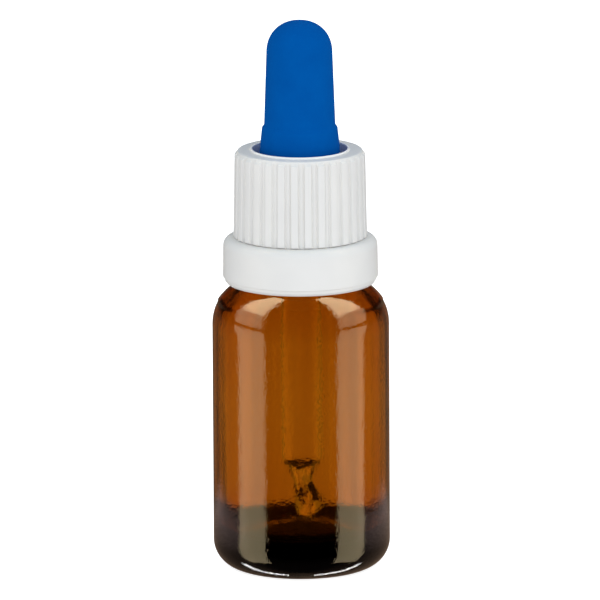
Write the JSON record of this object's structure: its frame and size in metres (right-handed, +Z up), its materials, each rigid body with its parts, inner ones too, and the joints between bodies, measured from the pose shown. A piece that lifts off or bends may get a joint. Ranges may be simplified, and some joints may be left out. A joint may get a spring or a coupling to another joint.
{
  "type": "dropper bottle",
  "caption": "Small amber glass bottle with a ribbed white screw cap, tamper ring, blue rubber teat and glass pipette with a bent ball tip.",
  "frame": {"origin": "on the bottle's axis, at the plane of the base ring that it stands on", "axes": "+Z up along the bottle's axis; +X the side that the pipette's ball tip is bent towards"},
  "size_m": [0.025, 0.025, 0.0786],
  "materials": {
    "amber_glass": "clear amber glass, fire-polished, glossy",
    "clear_glass": "clear drawn glass, glossy",
    "white_plastic": "white moulded polypropylene, half gloss",
    "blue_rubber": "matt blue rubber"
  },
  "bodies": {
    "bottle": {"bottle": "amber_glass"},
    "ring": {"tamper_ring": "white_plastic"},
    "dropper": {"glass_pipette": "clear_glass"},
    "cap": {"screw_cap": "white_plastic"},
    "bulb": {"rubber_bulb": "blue_rubber"}
  },
  "joints": [
    {"name": "dropper_lift", "type": "slide", "parent": "bottle", "child": "dropper", "axis": [0, 0, 1], "range_m": [0, 0.057]},
    {"name": "cap_turn", "type": "hinge", "parent": "dropper", "child": "cap", "pos_m": [0, 0, 0.0535], "axis": [0, 0, 1], "range_deg": [0, 6840]},
    {"name": "ring_turn", "type": "hinge", "parent": "bottle", "child": "ring", "pos_m": [0, 0, 0.0437], "axis": [0, 0, 1], "continuous": true},
    {"name": "bulb_press", "type": "slide", "parent": "dropper", "child": "bulb", "axis": [0, 0, -1], "range_m": [0, 0.004], "stiffness_N_per_m": 600, "deforming": ["rubber_bulb"]}
  ],
  "couplings": [
    {"joint": "cap_turn", "follows": "dropper_lift", "rad_per_m": 2094.4}
  ]
}
